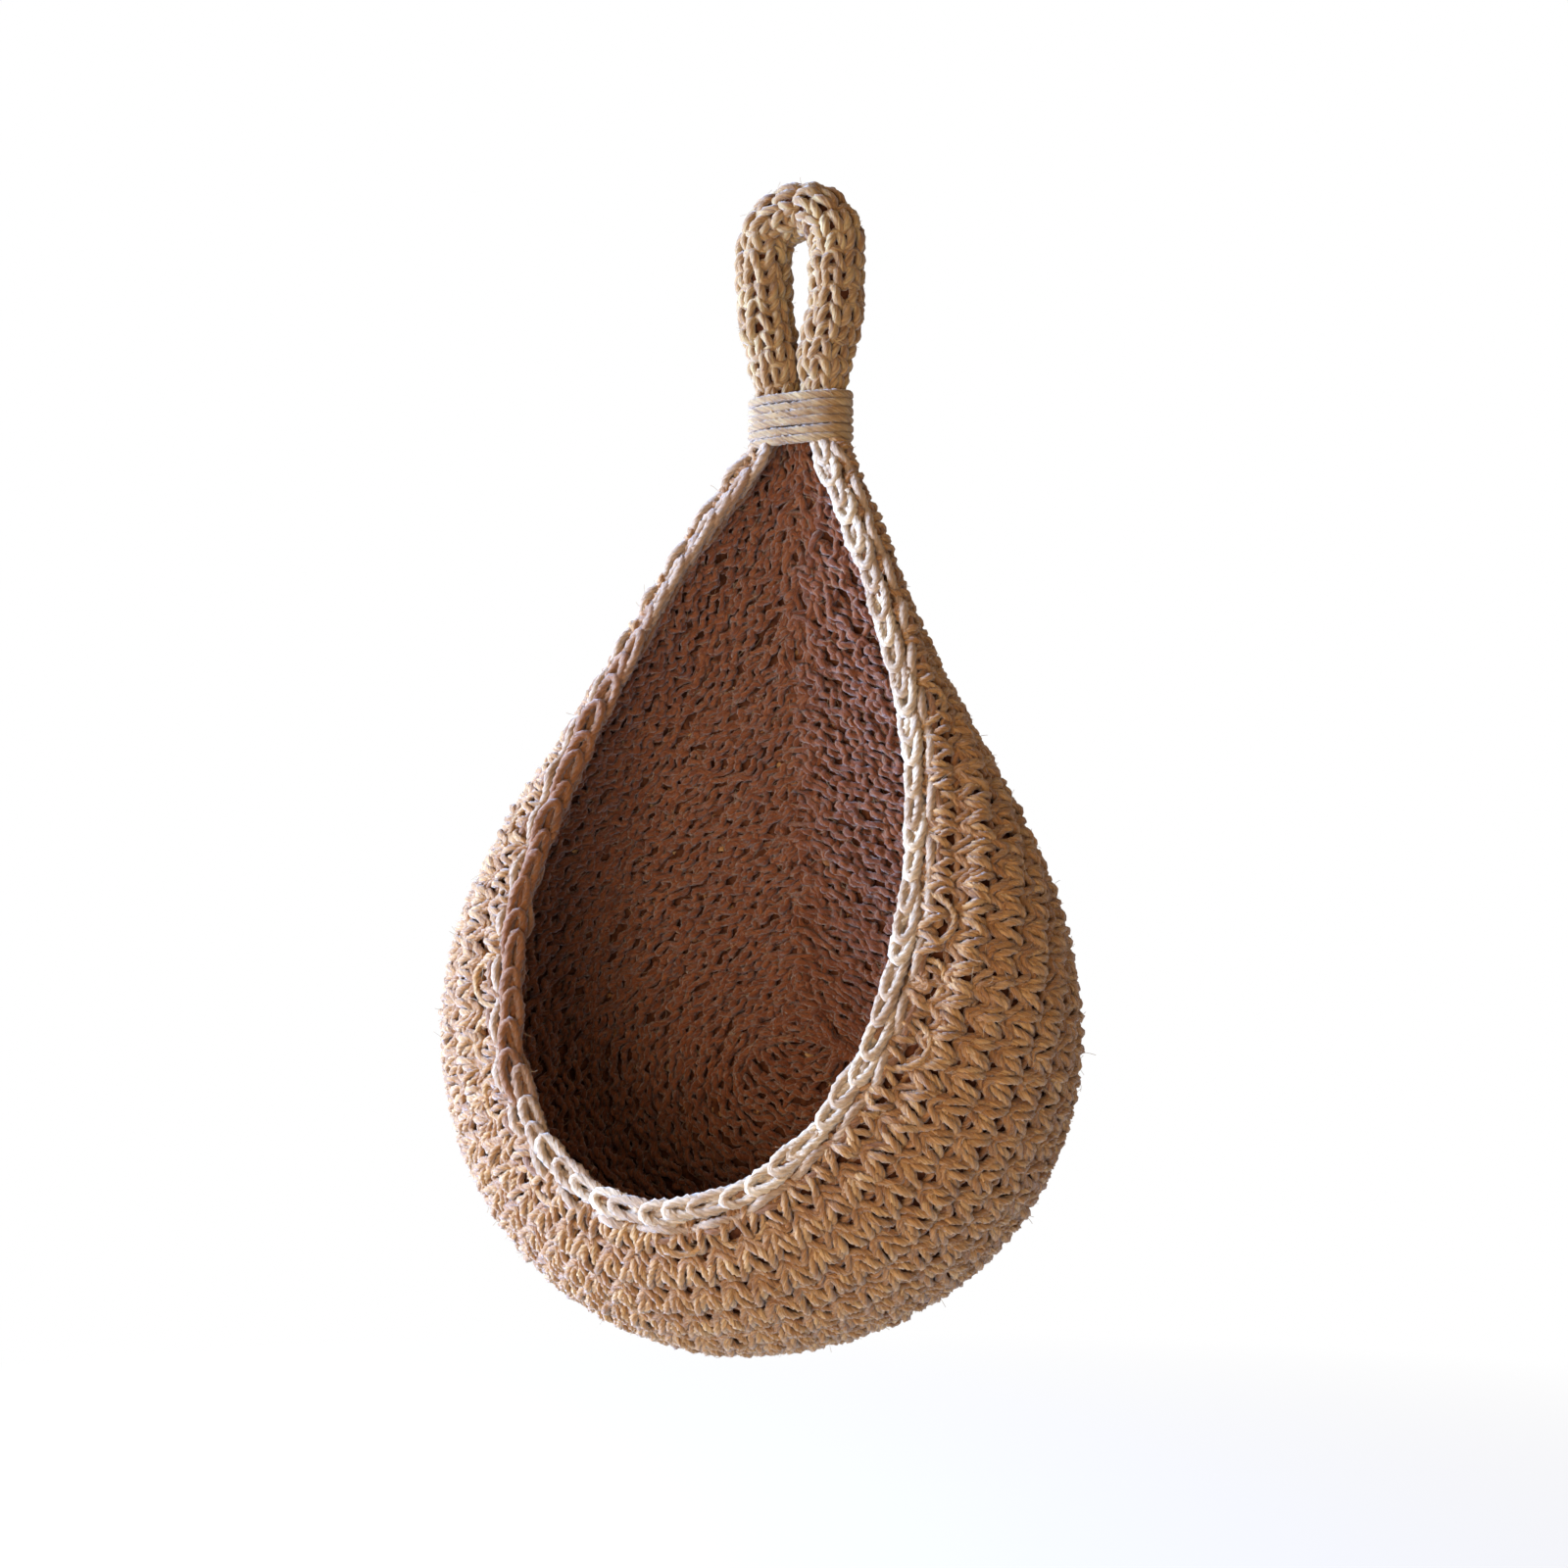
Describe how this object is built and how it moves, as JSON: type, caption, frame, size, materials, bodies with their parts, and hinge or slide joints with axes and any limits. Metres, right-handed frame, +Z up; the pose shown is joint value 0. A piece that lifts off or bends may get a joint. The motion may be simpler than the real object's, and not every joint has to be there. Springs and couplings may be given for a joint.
{
  "type": "hanging fruit basket",
  "caption": "Teardrop wall basket crocheted in jute twine, with a leaning open mouth, a bulging pouch, a chain edging and a corded hanging loop lashed to its neck.",
  "frame": {"origin": "inside top of the hanging loop, the point that rests on a peg or hook", "axes": "+Z up, +X to the right seen from the front, +Y back towards the wall"},
  "size_m": [0.2368, 0.1187, 0.4144],
  "materials": {
    "jute_fabric": "single crochet in natural jute twine, matt and hairy",
    "jute_edging": "chain-stitch edging in natural jute twine, matt",
    "jute_cord": "tubular crocheted cord in natural jute twine, matt",
    "jute_twine": "tightly wound natural jute twine, matt"
  },
  "bodies": {
    "hanger": {"hanging_loop": "jute_cord"},
    "basket": {"back_panel": "jute_fabric", "pouch": "jute_fabric", "rim_edging": "jute_edging", "neck_binding": "jute_twine"}
  },
  "joints": [
    {"name": "neck_tilt", "type": "hinge", "parent": "hanger", "child": "basket", "pos_m": [0, 0, -0.05092], "axis": [-1, 0, 0], "range_deg": [0, 40]}
  ]
}
